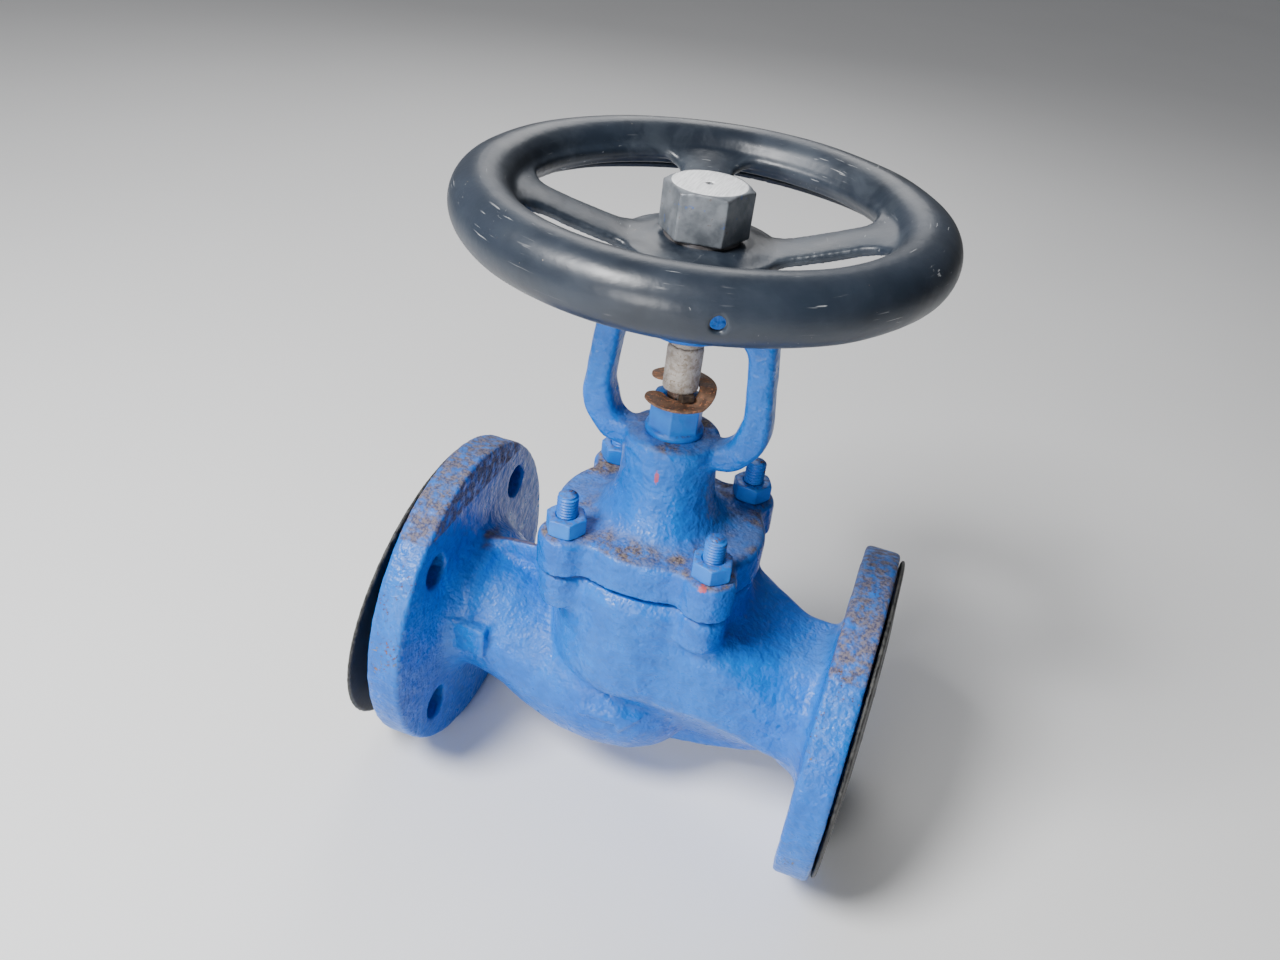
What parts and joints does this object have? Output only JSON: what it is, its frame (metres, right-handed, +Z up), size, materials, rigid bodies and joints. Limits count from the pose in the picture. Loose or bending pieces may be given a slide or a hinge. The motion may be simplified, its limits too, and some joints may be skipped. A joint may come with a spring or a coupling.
{
  "type": "globe valve",
  "caption": "Flanged globe valve with a four-stud bonnet, yoke, bellows-sealed rising stem, dished handwheel and push-in flange covers.",
  "frame": {"origin": "centre of the inlet flange's bolting face, on the pipe axis, 3 mm behind the raised face", "axes": "+X along the pipe in the direction of flow, +Z up the stem towards the handwheel, +Y across"},
  "size_m": [0.2525, 0.2022, 0.3266],
  "materials": {
    "blue_paint": "satin paint over a cast skin, with rust specks",
    "stud_paint": "satin paint over machined steel",
    "wheel_paint": "semi-gloss dark grey-blue paint, scuffed",
    "zinc_steel": "dull zinc with a bright turned face",
    "stainless": "turned",
    "dusty_steel": "dull, dusty",
    "dark_steel": "dark, oxidised",
    "rusty_steel": "rusted",
    "bronze": "machined",
    "graphite": "matt graphite",
    "cover_plastic": "matt black, worn grey at the edge"
  },
  "bodies": {
    "valve": {"body": "blue_paint", "seat_ring": "stainless", "bonnet_gasket": "graphite", "bonnet": "blue_paint", "bonnet_studs": "stud_paint", "bonnet_nuts": "stud_paint", "guide_bush": "bronze", "gland_packing": "graphite", "gland_follower": "stainless", "gland_nut": "stud_paint", "bellows": "stainless", "bellows_upper_collar": "stainless", "thrust_washer": "stainless", "boss_washer": "stainless", "stem_clip": "rusty_steel"},
    "stem": {"lower_stem": "stainless", "upper_stem": "dusty_steel", "stem_sleeve": "dusty_steel", "stem_key": "dark_steel", "valve_disc": "stainless", "disc_nut": "stainless", "bellows_lower_collar": "stainless"},
    "handwheel": {"handwheel": "wheel_paint", "yoke_bush": "bronze", "handwheel_washer": "zinc_steel", "handwheel_nut": "zinc_steel"},
    "inlet_cover": {"inlet_flange_cover": "cover_plastic"},
    "outlet_cover": {"outlet_flange_cover": "cover_plastic"}
  },
  "joints": [
    {"name": "handwheel_turn", "type": "hinge", "parent": "valve", "child": "handwheel", "pos_m": [0.112, 0, 0], "axis": [0, 0, 1], "range_deg": [0, 1350]},
    {"name": "stem_lift", "type": "slide", "parent": "valve", "child": "stem", "axis": [0, 0, 1], "range_m": [0, 0.015], "deforming": ["bellows"]},
    {"name": "inlet_cover_pull", "type": "slide", "parent": "valve", "child": "inlet_cover", "axis": [-1, 0, 0], "range_m": [0, 0.06]},
    {"name": "outlet_cover_pull", "type": "slide", "parent": "valve", "child": "outlet_cover", "axis": [1, 0, 0], "range_m": [0, 0.06]}
  ],
  "couplings": [
    {"joint": "stem_lift", "follows": "handwheel_turn", "m_per_rad": 0.00063662}
  ]
}
